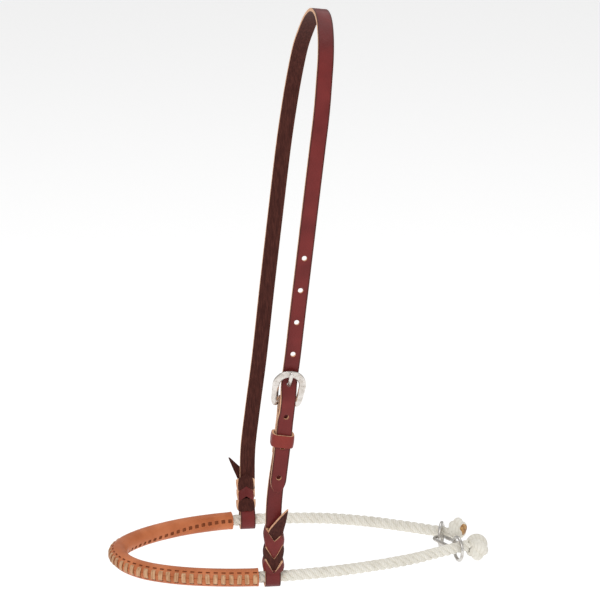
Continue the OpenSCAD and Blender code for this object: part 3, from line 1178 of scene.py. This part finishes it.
@dataclass
class BuckleSet:
    """Engraved horseshoe frame with its heel bar, and the tongue. Millimetres."""

    palette: Palette
    tilt: float = 15.0
    arch_height: float = 15.5
    arch_radius: float = 10.55
    band: float = 5.5
    thickness: float = 2.8
    leg_end: float = -3.6
    leg_over: float = 7.3

    def in_frame(self, over: float, up: float, out: float = 0.0) -> np.ndarray:
        """Returns a place in the tilted plane of the frame, in millimetres.

        Args:
            over: the distance across the frame, in millimetres.
            up: the distance up its plane.
            out: the distance out of its plane.

        Returns:
            The place as x, y and z.
        """
        a = math.radians(self.tilt)
        away = -ROUND_BAR + up * math.sin(a) + out * math.cos(a)
        return at_buckle(away, up * math.cos(a) - out * math.sin(a), over)

    def frame_piece(self) -> bpy.types.Object:
        """Makes the frame from one bar bent to a horseshoe, flattened and engraved."""
        arch = [(self.arch_radius * math.cos(a), self.arch_height + self.arch_radius * math.sin(a))
                for a in np.radians(np.arange(0, 181, 15))]
        legs = [(self.leg_over, self.leg_end), (self.leg_over + 2.0, 0.2), (self.arch_radius - 0.5, 7.0)]
        outline = [*legs, *arch, *[(-x, y) for x, y in reversed(legs)]]
        points = [self.in_frame(x, y) for x, y in outline]
        plane = self.in_frame(0, 0, 1) - self.in_frame(0, 0, 0)
        path = Path(points, across=plane, turned=True)
        bar = bar_stock("buckle_frame_plate", path.length, 119, 24)
        flat = vertices(bar)
        section = flat[:, 1:] / MM
        angle = np.arctan2(section[:, 1], section[:, 0])
        full = np.linalg.norm(section, axis=1)
        end = np.minimum(flat[:, 0], path.length - flat[:, 0]) / MM
        ease = 0.62 + 0.38 * np.sqrt(np.clip(end / 2.2, 0.0, 1.0))
        side = np.sign(np.cos(angle)) * np.abs(np.cos(angle)) ** 0.62
        rise = np.sign(np.sin(angle)) * np.abs(np.sin(angle)) ** 0.75
        middle = np.clip(1.0 - np.abs(flat[:, 0] / path.length - 0.5) * 4.0, 0.0, 1.0)
        flat[:, 1] = full * side * self.thickness / 2 * MM * ease
        flat[:, 2] = full * rise * (self.band + 0.7 * middle) / 2 * MM * ease
        set_vertices(bar, flat)
        step = path.length / 120
        with edit(bar):
            pick(bar, lambda c, n: n.y < -0.6 and abs(c.z) < 1.9 * MM
                 and 0.26 < c.x / path.length < 0.74 and int(c.x / step) % 3 == 0)
            bpy.ops.mesh.inset(thickness=0.05 * MM, depth=-0.14 * MM)
        path.lay(bar)
        heel = self.heel_bar()
        piece = join("buckle_frame_plate", [bar, heel])
        recalculate(piece)
        piece.data.materials.append(self.palette.nickel)
        smooth(piece, 35.0)
        return piece

    def heel_bar(self) -> bpy.types.Object:
        """Makes the bar across the frame that the cheek strap is folded round."""
        ends = [at_buckle(-ROUND_BAR, 0.0, x) for x in (-9.0, -4.0, 4.0, 9.0)]
        path = Path(ends, across=tuple(at_buckle(1, 0) - at_buckle(0, 0)))
        bar = bar_stock("heel_bar", path.length, 11, 20)
        flat = vertices(bar)
        flat[:, 1:] *= BAR_RADIUS
        set_vertices(bar, flat)
        path.lay(bar)
        return bar

    def tongue_piece(self) -> bpy.types.Object:
        """Makes the tongue: an eye round the bar and a blade bent out through the hole onto the frame."""
        eye = [(-ROUND_BAR + 2.5 * math.cos(a), 2.5 * math.sin(a)) for a in np.radians(np.arange(-200, 41, 20))]
        blade = [(-0.9, 3.4), (-1.5, 9.0), (-0.2, 13.0), (2.7, 17.6), (5.0, 21.6), (6.2, 25.0), (6.7, 27.2)]
        path = Path([at_buckle(out, up) for out, up in [*eye, *blade]], across=ACROSS)
        bar = bar_stock("buckle_tongue_blade", path.length, 90, 16)
        flat = vertices(bar)
        to_tip = (path.length - flat[:, 0]) / MM
        ease = np.sqrt(np.clip(to_tip / 2.0, 0.02, 1.0))
        flat[:, 1] *= (1.55 + 0.35 * smoothstep(to_tip, 24.0, 30.0)) * ease
        flat[:, 2] *= (1.15 - 0.2 * smoothstep(to_tip, 24.0, 30.0)) * ease
        set_vertices(bar, flat)
        path.lay(bar)
        recalculate(bar)
        bar.data.materials.append(self.palette.nickel)
        smooth(bar)
        return bar

    def build(self) -> None:
        """Builds the frame and the tongue."""
        fit(self.frame_piece(), "buckle", "nickel", "buckle_frame")
        fit(self.tongue_piece(), "tongue", "nickel", "buckle_tongue")


# ---------------------------------------------------------------- rope and cover


def strand_tubes(name: str, lines: Sequence[np.ndarray], radii: Sequence[np.ndarray],
                 sides: int) -> bpy.types.Object:
    """Makes closed tubes round lines of points, in mesh code.

    Args:
        name: the object's name.
        lines: the points of each tube's middle, in metres.
        radii: each tube's radius at its points.
        sides: the number of sides.

    Returns:
        One mesh object, with each vertex's length and turn kept for the yarn pattern.
    """
    rows, faces, flat = [], [], []
    for line, radius in zip(lines, radii):
        run = np.gradient(line, axis=0)
        run /= np.linalg.norm(run, axis=1, keepdims=True)
        side = np.cross(run[0], [0.3, 0.2, 1.0])
        reach = np.concatenate([[0.0], np.cumsum(np.linalg.norm(np.diff(line, axis=0), axis=1))])
        first = len(rows)
        turns = np.arange(sides) * 2 * math.pi / sides
        for i, spot in enumerate(line):
            side = side - run[i] * (side @ run[i])
            side /= np.linalg.norm(side)
            other = np.cross(run[i], side)
            for turn in turns:
                rows.append(spot + radius[i] * (side * math.cos(turn) + other * math.sin(turn)))
                flat.append((reach[i], turn, 0.0))
        for i in range(len(line) - 1):
            for k in range(sides):
                a = first + i * sides + k
                b = first + i * sides + (k + 1) % sides
                faces.append((a, b, b + sides, a + sides))
        for i, order in ((0, -1), (len(line) - 1, 1)):
            ring = [first + i * sides + k for k in range(sides)]
            rows.append(line[i])
            flat.append((reach[i], 0.0, 0.0))
            hub = len(rows) - 1
            faces += [(ring[k], ring[(k + order) % sides], hub) for k in range(sides)]
    mesh = bpy.data.meshes.new(name)
    mesh.from_pydata([tuple(r) for r in rows], [], faces)
    place = mesh.attributes.new("flat_place", "FLOAT_VECTOR", "POINT")
    place.data.foreach_set("vector", np.array(flat, np.float32).ravel())
    piece = bpy.data.objects.new(name, mesh)
    bpy.context.collection.objects.link(piece)
    recalculate(piece)
    smooth(piece, 60.0)
    return piece


@dataclass
class Noseband:
    """Four-strand rope round the nose, with a knot at each end. Millimetres."""

    palette: Palette
    strands: int = 4
    lay: float = 25.6
    strand_radius: float = 2.08
    ring_gap: float = 1.25
    route: Sequence[tuple[float, float]] = (
        (122, -16), (113, -20.4), (104, -24.5), (90, -32), (74, -40.5), (50, -49.5), (20, -58), (-12, -64),
        (-46, -67), (-78, -65.5), (-108, -59.5), (-132, -50), (-150, -37.5), (-162, -20), (-166, 0), (-161, 18),
        (-148, 34), (-130, 47.5), (-106, 59.5), (-78, 67.5), (-50, 70.5), (-18, 69.5), (14, 65), (42, 55.5),
        (66, 43.5), (88, 30.5), (104, 20.5), (117, 12.7))
    near_knot_at: Point = (130, -14, -448.6)
    near_knot_size: float = 10.6
    off_knot_at: Point = (117.8, 9, -439.8)
    off_knot_size: float = 8.6

    def path(self) -> Path:
        """Returns the rope's middle, level, from the near end round the nose to the off end."""
        return Path([(x, y, -DROP) for x, y in self.route])

    def rope(self) -> bpy.types.Object:
        """Makes the strands laid round each other along the path."""
        path = self.path()
        reach = np.linspace(0.0, path.length, int(path.length / (self.ring_gap * MM)))
        point, _, side, up = path.at(reach)
        out = (ROPE_DIAMETER / 2 - self.strand_radius) * MM
        lines = []
        for k in range(self.strands):
            turn = 2 * math.pi * (reach / (self.lay * MM) + k / self.strands)
            lines.append(point + out * (side * np.cos(turn)[:, None] + up * np.sin(turn)[:, None]))
        radii = [np.full(len(reach), self.strand_radius * MM)] * self.strands
        rope = strand_tubes("noseband_rope_strands", lines, radii, 12)
        rope.data.materials.append(self.palette.rope)
        return rope

    def end_knot(self, name: str, at: Point, size: float, aim: Point, melted: float) -> bpy.types.Object:
        """Makes a wall-and-crown knot: strands that sweep round a ball, with a melted tip.

        Args:
            name: the object's name.
            at: the knot's middle.
            size: its radius.
            aim: the direction in which the rope's end points.
            melted: the tip's radius, as a share of size.
        """
        axis = Vector(aim).normalized()
        turn = axis.to_track_quat("X", "Z").to_matrix()
        thick = 0.47 * size
        lines, radii = [], []
        share = np.linspace(0.0, 1.0, 44)
        polar = math.pi * (0.07 + 0.84 * share)
        for k in range(4):
            spin = 2 * math.pi * k / 4 + 2.5 * share
            out = (size - thick) * np.sin(polar) + 0.06 * size
            along = -(0.94 * size - thick) * np.cos(polar)
            rows = np.stack([along, out * np.cos(spin), out * np.sin(spin)], axis=1)
            lines.append((rows @ np.array(turn).T + np.array(at)) * MM)
            radii.append(thick * MM * (0.72 + 0.28 * np.sin(math.pi * share)))
        ball = strand_tubes(name, lines, radii, 16)
        ball.data.materials.append(self.palette.rope)
        ball.data.materials.append(self.palette.melted)
        bpy.ops.object.select_all(action="DESELECT")
        bpy.ops.mesh.primitive_uv_sphere_add(segments=40, ring_count=20, radius=melted * size * MM)
        tip = named(bpy.context.object, "melted_tip")
        rows = vertices(tip)
        wavy = 1.0 + 0.10 * np.sin(3 * np.arctan2(rows[:, 2], rows[:, 1]) + 1.0)
        rows[:, 1:] *= wavy[:, None]
        rows[:, 0] = rows[:, 0] * 0.5 + 0.64 * size * MM
        set_vertices(tip, rows @ np.array(turn).T + np.array(at) * MM)
        tip.data.materials.append(self.palette.rope)
        tip.data.materials.append(self.palette.melted)
        for face in tip.data.polygons:
            face.material_index = 1
        smooth(tip, 60.0)
        return join(name, [ball, tip])

    def build(self) -> None:
        rope = self.rope()
        fit(rope, "noseband", "rope", "noseband_rope")
        near_aim = (0.93, 0.35, -0.05)
        near = self.end_knot("near_knot_strands", self.near_knot_at, self.near_knot_size, near_aim, 0.34)
        off_aim = (0.72, -0.66, 0.12)
        off = self.end_knot("off_knot_strands", self.off_knot_at, self.off_knot_size, off_aim, 0.54)
        fit(near, "noseband", "rope", "near_end_knot")
        fit(off, "noseband", "rope", "off_end_knot")


@dataclass
class NoseCover:
    """Leather wrapped round the rope over the nose and laced on its outer side. Millimetres."""

    palette: Palette
    rope_path: Path
    first: float = 8.38
    last: float = 19.48
    stitches: int = 44
    margin: float = 3.0
    thickness: float = 2.1
    lace_width: float = 3.3
    lace_thickness: float = 0.8
    seam: float = 9.0
    lace_from: float = -22.0
    lace_to: float = 34.0
    rows: Sequence[tuple[float, float]] = ((46.5, 55.5), (173.0, 196.0), (324.0, 333.0))

    def reach_of(self, place: float) -> float:
        """Returns the distance along the rope, in metres, of a place counted in route points."""
        return float(np.interp(place * self.rope_path.steps, np.arange(len(self.rope_path.line)),
                               self.rope_path.reach))

    def stitch_places(self) -> np.ndarray:
        """Returns the distance of each lace stitch along the rope."""
        inset = self.margin * MM
        return np.linspace(self.reach_of(self.first) + inset, self.reach_of(self.last) - inset, self.stitches)

    def turns(self) -> np.ndarray:
        """Returns the angles of the rows round the cover, in degrees from the seam once round."""
        slits = [edge for row in self.rows for edge in (row[0] - 4.0, *row, row[1] + 4.0)]
        plain = np.arange(self.seam, 360.0 + self.seam - 3.0, 8.0)
        clear = [p for p in plain if all(abs(p - e) > 3.5 for e in slits)
                 and not any(low < p < high for low, high in self.rows)]
        return np.array(sorted([*clear, *slits, 360.0 + self.seam - 0.8]))

    def shell(self) -> bpy.types.Object:
        """Makes the leather: cut flat, slit in rows with painted shade in the slits, eased, and rolled round the
        rope.
        """
        stitches = self.stitch_places()
        gap = float(np.mean(np.diff(stitches)))
        half = self.lace_width / 2 * MM
        radius = COVER_DIAMETER / 2 * MM
        degree = radius * math.pi / 180.0
        cuts = [s + k for s in stitches for k in (-half, half, gap / 2)]
        ends = [self.reach_of(self.first), self.reach_of(self.last)]
        inner = [c for c in cuts if ends[0] + 0.7 * MM < c < ends[1] - 0.7 * MM]
        along = np.array(sorted([*ends, ends[0] + 0.5 * MM, ends[1] - 0.5 * MM, *inner]))
        sheet = flat_sheet("nose_cover_leather", along, self.turns() * degree)
        for material in (self.palette.cover, self.palette.flesh, self.palette.slit_painted_shade):
            sheet.data.materials.append(material)
        apply(sheet, "SOLIDIFY", thickness=self.thickness * MM, offset=-1.0, material_offset=1)

        def is_slit(middle: Vector, normal: Vector) -> bool:
            """Says whether a face of the outer side lies in one of the rows of slits."""
            near = np.min(np.abs(stitches - middle.x)) < half
            return normal.z > 0.5 and near and any(low < middle.y / degree < high for low, high in self.rows)

        with edit(sheet):
            pick(sheet, is_slit)
            # The slit faces are dented and take the dark slit finish: painted shade for the depth of the slits.
            bpy.context.object.active_material_index = 2
            bpy.ops.object.material_slot_assign()
            bpy.ops.mesh.inset(thickness=0.15 * MM, depth=-0.7 * MM)
        apply(sheet, "BEVEL", width=0.25 * MM, segments=2, limit_method="ANGLE",
              angle_limit=math.radians(55.0))
        apply(sheet, "SUBSURF", levels=1, render_levels=1)
        flat = vertices(sheet)
        turn = flat[:, 1] / degree
        spiral = -21.0 + 40.0 * smoothstep(ends[1] - flat[:, 0], 10.0 * MM, 95.0 * MM)
        held = smoothstep(turn, 80.0, 165.0) * (1.0 - smoothstep(turn, 205.0, 300.0))
        from_end = np.minimum(flat[:, 0] - ends[0], ends[1] - flat[:, 0]) / MM
        lip = 0.25 * np.exp(-((from_end / 1.6) ** 2))
        wave = 0.10 * np.sin(flat[:, 0] / gap * 2 * math.pi) * np.exp(-(((turn - 20.0) / 40.0) ** 2))
        turn = np.radians(turn + spiral * held)
        reach = radius + (lip + wave) * MM + flat[:, 2]
        set_vertices(sheet, np.stack([flat[:, 0], reach * np.cos(turn), reach * np.sin(turn)], axis=1))
        self.rope_path.lay(sheet)
        recalculate(sheet)
        smooth(sheet)
        return sheet

    def lacing(self) -> bpy.types.Object:
        """Makes the lace stitches: one short strip, bent over the seam and repeated along the cover."""
        turns = np.radians(np.linspace(self.lace_from - 4.0, self.lace_to + 4.0, 15))
        half = self.lace_width / 2 * MM
        over = np.array([-1.0, -0.8, -0.3, 0.3, 0.8, 1.0]) * half
        strip = flat_sheet("lace_stitch", over, turns)
        strip.data.materials.append(self.palette.rawhide)
        flat = vertices(strip)
        mid = math.radians((self.lace_from + self.lace_to) / 2)
        span = math.radians((self.lace_to - self.lace_from) / 2 + 4.0)
        share = (flat[:, 1] - mid) / span
        tuck = 1.25 * smoothstep(np.abs(share), 0.80, 1.0)
        crown = 0.16 * (1.0 - (flat[:, 0] / half) ** 2)
        reach = (COVER_DIAMETER / 2 + 0.45 + 0.2 * (1 - share**2) + crown - tuck) * MM
        narrow = 1.0 - 0.16 * smoothstep(np.abs(share), 0.6, 1.0)
        rows = np.stack([flat[:, 0] * narrow, reach * np.cos(flat[:, 1]), reach * np.sin(flat[:, 1])], axis=1)
        set_vertices(strip, rows)
        middle = sum(Vector((0, f.center.y, f.center.z)).dot(f.normal) for f in strip.data.polygons)
        if middle < 0.0:
            with edit(strip):
                bpy.ops.mesh.select_all(action="SELECT")
                bpy.ops.mesh.flip_normals()
        apply(strip, "SOLIDIFY", thickness=self.lace_thickness * MM, offset=0.0)
        apply(strip, "BEVEL", width=0.2 * MM, segments=2, limit_method="ANGLE",
              angle_limit=math.radians(50.0))
        copies = []
        for number, start in enumerate(self.stitch_places()):
            stitch = copy_of(strip)
            rows = vertices(stitch)
            lean = 0.09 * math.sin(number * 2.4)
            rows[:, 0] += (rows[:, 2] * lean) + 0.15 * MM * math.sin(number * 1.7)
            set_vertices(stitch, rows)
            self.rope_path.lay(stitch, start)
            copies.append(stitch)
        bpy.data.objects.remove(strip)
        lace = join("cover_lace_stitches", copies)
        smooth(lace)
        return lace

    def build(self) -> None:
        """Builds the cover and its lacing."""
        fit(self.shell(), "noseband", "cover_leather", "nose_cover")
        fit(self.lacing(), "noseband", "rawhide", "cover_lacing")


@dataclass
class TieDownRings:
    """A ring on each end of the rope, and the link between them. Millimetres."""

    palette: Palette
    wire: float = 2.8
    ring_diameter: float = 22.0
    link_length: float = 29.3
    link_width: float = 13.6
    link_at: Point = (106.85, -0.45, -447.4)
    link_turn: float = 26.9

    def wire_ring(self, name: str, radius: float) -> bpy.types.Object:
        """Makes a ring of wire about Z, with the low swelling of its weld.

        Args:
            name: the object's name.
            radius: the ring's middle radius in millimetres.

        Returns:
            The ring.
        """
        bpy.ops.object.select_all(action="DESELECT")
        bpy.ops.mesh.primitive_torus_add(major_segments=96, minor_segments=20, major_radius=radius * MM,
                                         minor_radius=self.wire / 2 * MM)
        ring = named(bpy.context.object, name)
        points = vertices(ring)
        turn = np.arctan2(points[:, 1], points[:, 0])
        middle = np.stack([np.cos(turn), np.sin(turn), 0 * turn], axis=1) * radius * MM
        swell = 1.0 + 0.11 * np.exp(-((turn / 0.10) ** 2))
        set_vertices(ring, middle + (points - middle) * swell[:, None])
        ring.data.materials.append(self.palette.wire)
        return ring

    def put(self, piece: bpy.types.Object, at: Point, turn: float, upright: bool) -> None:
        """Moves the piece to its place, stood upright on its turned axis or left level.

        Args:
            piece: the mesh object.
            at: its middle, in millimetres.
            turn: the turn about Z, in degrees.
            upright: whether it stands on edge.
        """
        spin = Matrix.Rotation(math.radians(turn), 3, "Z")
        if upright:
            spin = spin @ Matrix.Rotation(math.radians(90.0), 3, "Y")
        set_vertices(piece, vertices(piece) @ np.array(spin).T + np.array(at) * MM)
        smooth(piece, 60.0)

    def build(self) -> None:
        """Builds the two rings and the link."""
        radius = (self.ring_diameter - self.wire) / 2
        places = (("near", (113.3, -18.8, -447.4), 11.5), ("off", (105.5, 17.5, -447.4), -19.5))
        for name, at, turn in places:
            ring = self.wire_ring(f"{name}_ring_wire", radius)
            self.put(ring, at, turn, True)
            fit(ring, f"{name}_ring", "nickel", f"{name}_rope_ring")
        link = self.wire_ring("centre_link_wire", (self.link_width - self.wire) / 2)
        points = vertices(link)
        points[:, 1] += np.sign(points[:, 1] + 1e-9) * (self.link_length - self.link_width) / 2 * MM
        set_vertices(link, points)
        self.put(link, self.link_at, self.link_turn, False)
        fit(link, "link", "nickel", "centre_link")


@dataclass
class Studio:
    """Pale floor, soft light and the camera."""

    turn: float = 7.46
    height: float = 16.0
    distance: float = 2.70
    aim: Point = (-0.01577, 0.0, -0.2345)
    lens: float = 200.4
    floor_drop: float = 0.16

    def camera(self) -> None:
        """Sets the camera on the aim, at its turn and height."""
        a = math.radians(self.turn)
        e = math.radians(self.height)
        back = Vector((-math.sin(a) * math.cos(e), -math.cos(a) * math.cos(e), math.sin(e)))
        right = Vector((math.cos(a), -math.sin(a), 0.0))
        data = bpy.data.cameras.new("view")
        data.lens = self.lens
        data.sensor_width = 36.0
        data.clip_end = 50.0
        camera = bpy.data.objects.new("view", data)
        frame_axes = Matrix((right, back.cross(right), back)).transposed().to_4x4()
        camera.matrix_world = Matrix.Translation(Vector(self.aim) + back * self.distance) @ frame_axes
        bpy.context.collection.objects.link(camera)
        bpy.context.scene.camera = camera

    def light(self, name: str, place: Point, size: float, power: float) -> None:
        """Adds one soft square light that looks at the aim.

        Args:
            name: the light's name.
            place: where it stands.
            size: the side of its square.
            power: its power in watts.
        """
        data = bpy.data.lights.new(name, "AREA")
        data.shape = "SQUARE"
        data.size = size
        data.energy = power
        lamp = bpy.data.objects.new(name, data)
        lamp.location = Vector(place)
        lamp.rotation_euler = (Vector(self.aim) - Vector(place)).to_track_quat("-Z", "Y").to_euler()
        bpy.context.collection.objects.link(lamp)

    def build(self) -> None:
        """Builds the camera, the lights, the world and the floor."""
        self.camera()
        self.light("key", (-1.3, -1.9, 1.6), 1.4, 26.0)
        self.light("fill", (1.7, -1.5, 0.5), 1.8, 8.0)
        self.light("top", (0.2, 0.9, 1.8), 1.6, 10.0)
        world = bpy.data.worlds.new("studio")
        world.use_nodes = True
        background = world.node_tree.nodes["Background"]
        background.inputs["Color"].default_value = (1.0, 1.0, 1.0, 1.0)
        background.inputs["Strength"].default_value = 0.55
        bpy.context.scene.world = world
        bpy.context.scene.view_settings.view_transform = "Standard"
        bpy.ops.object.select_all(action="DESELECT")
        bpy.ops.mesh.primitive_plane_add(size=30.0, location=(0.0, 0.0, CAD_BOX[0][2] - self.floor_drop))
        floor = named(bpy.context.object, "studio_floor")
        floor.data.materials.append(self.floor_material())

    @staticmethod
    def floor_material() -> bpy.types.Material:
        """Returns the plain pale finish of the floor."""
        made = bpy.data.materials.new("pale_floor")
        made.use_nodes = True
        shader = made.node_tree.nodes["Principled BSDF"]
        shader.inputs["Base Color"].default_value = (0.95, 0.95, 0.95, 1.0)
        shader.inputs["Roughness"].default_value = 0.9
        shader.inputs["Emission Color"].default_value = (1.0, 1.0, 1.0, 1.0)
        shader.inputs["Emission Strength"].default_value = 0.3
        return made


def near_knot(palette: Palette) -> BleedKnot:
    """Returns the near knot, with the plies and the tail that face outwards."""
    plies = (Ply(35.0, 18.5, 11.5, 8.7, 5.4, Face.GRAIN, 3.0), Ply(18.8, 17.5, 14.4, 8.7, 5.8, Face.FLESH, -0.9),
             Ply(6.9, 16.5, 13.4, 9.1, 7.4, Face.GRAIN, 1.4))
    return BleedKnot(palette, "near_knot", (-46.6, -67.0, -DROP), 10.3, -1, plies,
                     tail_left=((-6.0, 31.0), (-5.2, 43.2), (1.5, 55.0), (9.2, 66.2)),
                     tail_right=((6.5, 31.0), (6.8, 42.0), (8.6, 54.0), (9.8, 66.0)),
                     tail_out=(2.6, 10.5), tail_face=Face.FLESH, loop_shift=-0.7)


def off_knot(palette: Palette) -> BleedKnot:
    """Returns the off knot, which is tied shorter and shows its inner side to the near side."""
    plies = (Ply(27.0, 10.5, 7.5, 8.0, 5.2, Face.FLESH), Ply(18.5, 10.5, 7.5, 7.8, 5.5, Face.GRAIN),
             Ply(9.5, 10.5, 7.5, 8.3, 6.6, Face.FLESH, ridge=2.1))
    return BleedKnot(palette, "off_knot", (-50.7, 70.5, -DROP), -9.8, 1, plies,
                     tail_left=((-6.0, 26.0), (-7.0, 33.0), (-10.5, 42.0), (-14.4, 52.0)),
                     tail_right=((5.5, 27.0), (2.0, 37.0), (-6.0, 44.5), (-14.0, 52.3)),
                     tail_out=(3.2, 8.0), tail_face=Face.GRAIN, loop_shift=-0.8, front_from=-0.75,
                     back_from=0.15, middle=-1.6, edge_from=0.82)


def main() -> None:
    """Builds every sub-assembly in order."""
    logging.basicConfig(level=logging.INFO, format="%(name)s: %(message)s")
    Studio().build()
    palette = Palette()
    noseband = Noseband(palette)
    noseband.build()
    NoseCover(palette, noseband.path()).build()
    Headstall(palette).build()
    near_knot(palette).build("near_bleed_knot", "near_knot_tail", "near_rope_loop")
    off_knot(palette).build("off_bleed_knot", "off_knot_tail", "off_rope_loop")
    Keeper(palette).build()
    BuckleSet(palette).build()
    TieDownRings(palette).build()


if __name__ == "__main__":
    main()
